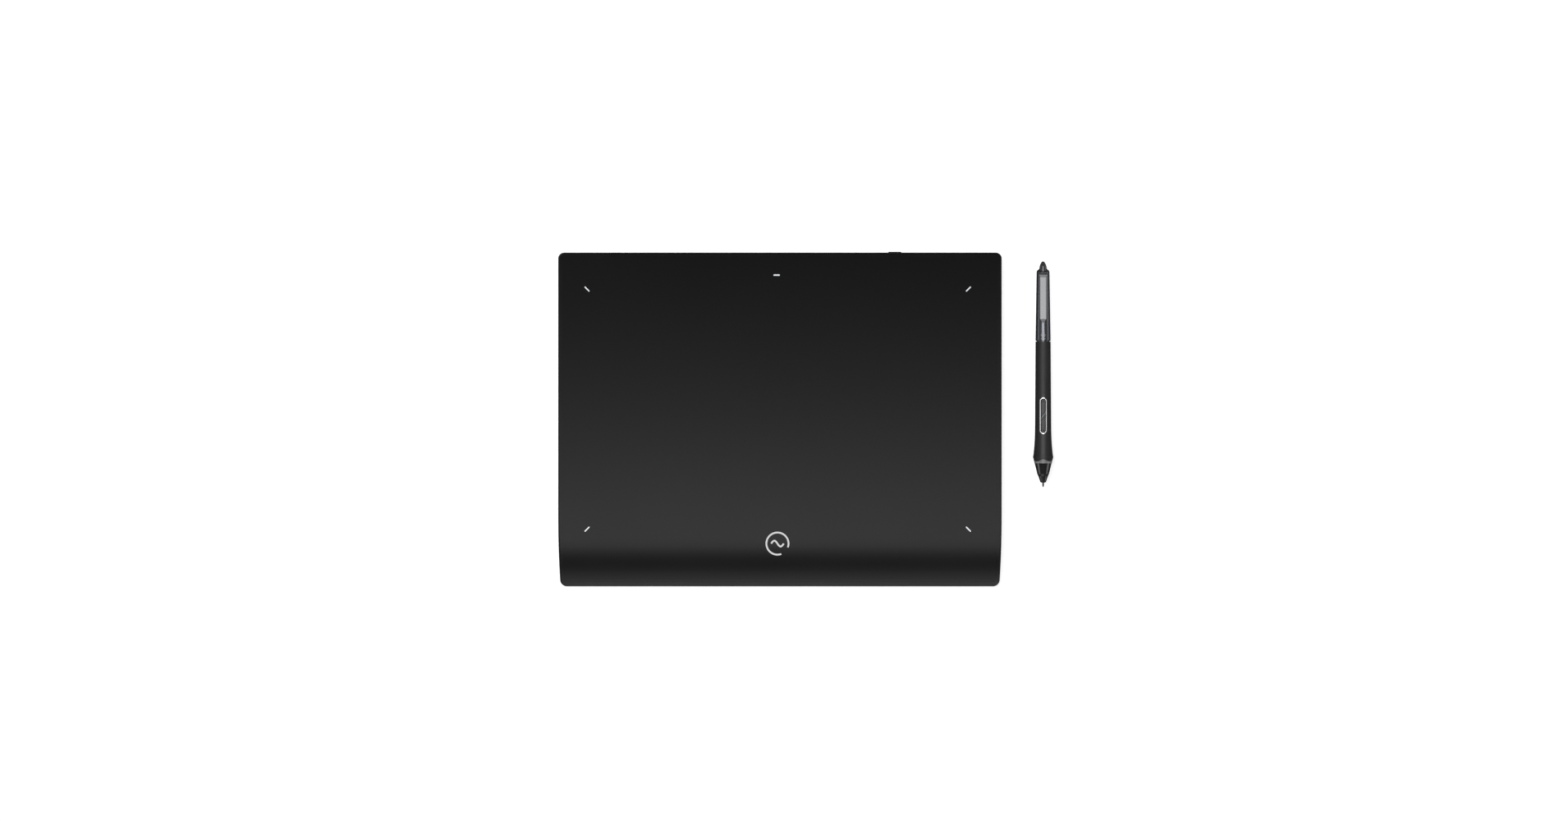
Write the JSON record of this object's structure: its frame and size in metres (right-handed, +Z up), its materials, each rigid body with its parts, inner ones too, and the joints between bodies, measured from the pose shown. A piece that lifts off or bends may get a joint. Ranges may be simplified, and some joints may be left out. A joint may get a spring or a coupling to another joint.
{
  "type": "pen drawing tablet",
  "caption": "Thin flat drawing tablet with a roll-down front edge and lit corner marks, with its cordless pen, side keys and clip, lying beside it.",
  "frame": {"origin": "middle of the footprint of the tablet and the pen beside it, on the desk", "axes": "+X towards the pen's side, +Y towards the tablet's rear edge with the port and button, +Z up from the desk"},
  "size_m": [0.3629, 0.2452, 0.015],
  "materials": {
    "case_plastic": "fine matte texture",
    "drawing_surface": "fine paper-like texture",
    "cover_metal": "dark satin anodised",
    "foot_rubber": "matte",
    "screw_steel": "dark zinc",
    "circuit_board": "solder mask",
    "shield_foil": "rolled foil",
    "frame_plastic": "moulded",
    "battery_pouch": "laminate pouch",
    "lead_insulation": "wire insulation",
    "connector_plastic": "natural",
    "chip_epoxy": "moulded epoxy",
    "tinned_steel": "tin plate",
    "antenna_ceramic": "fired",
    "switch_plastic": "moulded",
    "flex_film": "polyimide film",
    "led_body": "moulded",
    "light_pipe": "frosted, lit",
    "button_metal": "dark anodised",
    "grip_rubber": "soft touch",
    "collar_plastic": "satin",
    "cone_plastic": "satin",
    "nib_plastic": "dense plastic",
    "ferrite": "sintered",
    "copper_wire": "enamelled copper",
    "sensor_can": "drawn can",
    "pen_frame": "moulded",
    "bezel_chrome": "bright",
    "key_plastic": "satin",
    "tail_metal": "dark anodised",
    "clip_metal": "satin",
    "tail_gloss": "polished"
  },
  "bodies": {
    "tablet": {"top_shell": "case_plastic", "drawing_sheet": "drawing_surface", "bottom_cover": "cover_metal", "rear_feet": "foot_rubber", "front_feet": "foot_rubber", "case_screws": "screw_steel", "sensor_board": "circuit_board", "corner_leds": "led_body", "corner_light_pipes": "light_pipe", "sensor_shield": "shield_foil", "support_frame": "frame_plastic", "battery_pack": "battery_pouch", "main_board": "circuit_board", "board_screws": "screw_steel", "board_chips": "chip_epoxy", "radio_shield_can": "tinned_steel", "chip_antenna": "antenna_ceramic", "usb_port_shell": "tinned_steel", "usb_port_tongue": "switch_plastic", "flex_connector": "connector_plastic", "sensor_flex": "flex_film", "battery_connector": "connector_plastic", "battery_leads": "lead_insulation", "status_led": "led_body", "status_light_pipe": "light_pipe", "power_switch": "switch_plastic"},
    "power_button": {"power_button": "button_metal"},
    "pen": {"pen_grip": "grip_rubber", "pen_collar": "collar_plastic", "pen_nose_cone": "cone_plastic", "pen_ferrite_core": "ferrite", "pen_coil": "copper_wire", "pen_pressure_sensor": "sensor_can", "pen_inner_frame": "pen_frame", "pen_circuit_board": "circuit_board", "pen_side_switches": "switch_plastic", "pen_board_chips": "chip_epoxy", "pen_button_bezel": "bezel_chrome", "pen_button_divider": "bezel_chrome", "pen_tail_barrel": "tail_metal", "pen_eraser_sensor": "sensor_can", "pen_eraser_coil": "copper_wire", "pen_eraser_core": "ferrite", "pen_joint_seal": "foot_rubber"},
    "pen_nib": {"pen_nib": "nib_plastic", "pen_nib_holder": "pen_frame"},
    "pen_front_button": {"pen_front_button": "key_plastic"},
    "pen_rear_button": {"pen_rear_button": "key_plastic"},
    "pen_clip": {"pen_clip": "clip_metal"},
    "pen_eraser": {"pen_eraser": "tail_gloss"}
  },
  "joints": [
    {"name": "power_button_press", "type": "slide", "parent": "tablet", "child": "power_button", "axis": [0, -1, 0], "range_m": [0, 0.00035], "stiffness_N_per_m": 1500},
    {"name": "pen_lift", "type": "slide", "parent": "tablet", "child": "pen", "axis": [0, 0, 1], "range_m": [0, 0.1]},
    {"name": "pen_front_button_press", "type": "slide", "parent": "pen", "child": "pen_front_button", "axis": [0, -0.0203, -0.9998], "range_m": [0, 0.0003], "stiffness_N_per_m": 1500},
    {"name": "pen_rear_button_press", "type": "slide", "parent": "pen", "child": "pen_rear_button", "axis": [0, -0.0203, -0.9998], "range_m": [0, 0.0003], "stiffness_N_per_m": 1500},
    {"name": "pen_nib_press", "type": "slide", "parent": "pen", "child": "pen_nib", "axis": [0, 0.9998, -0.0203], "range_m": [0, 0.0006], "stiffness_N_per_m": 4000},
    {"name": "pen_eraser_press", "type": "slide", "parent": "pen", "child": "pen_eraser", "axis": [0, -0.9998, 0.0203], "range_m": [0, 0.0006], "stiffness_N_per_m": 4000},
    {"name": "pen_clip_flex", "type": "hinge", "parent": "pen", "child": "pen_clip", "pos_m": [0.17395, 0.1071, 0.00908], "axis": [-1, 0, 0], "range_deg": [0, 4], "stiffness_Nm_per_rad": 0.8}
  ]
}
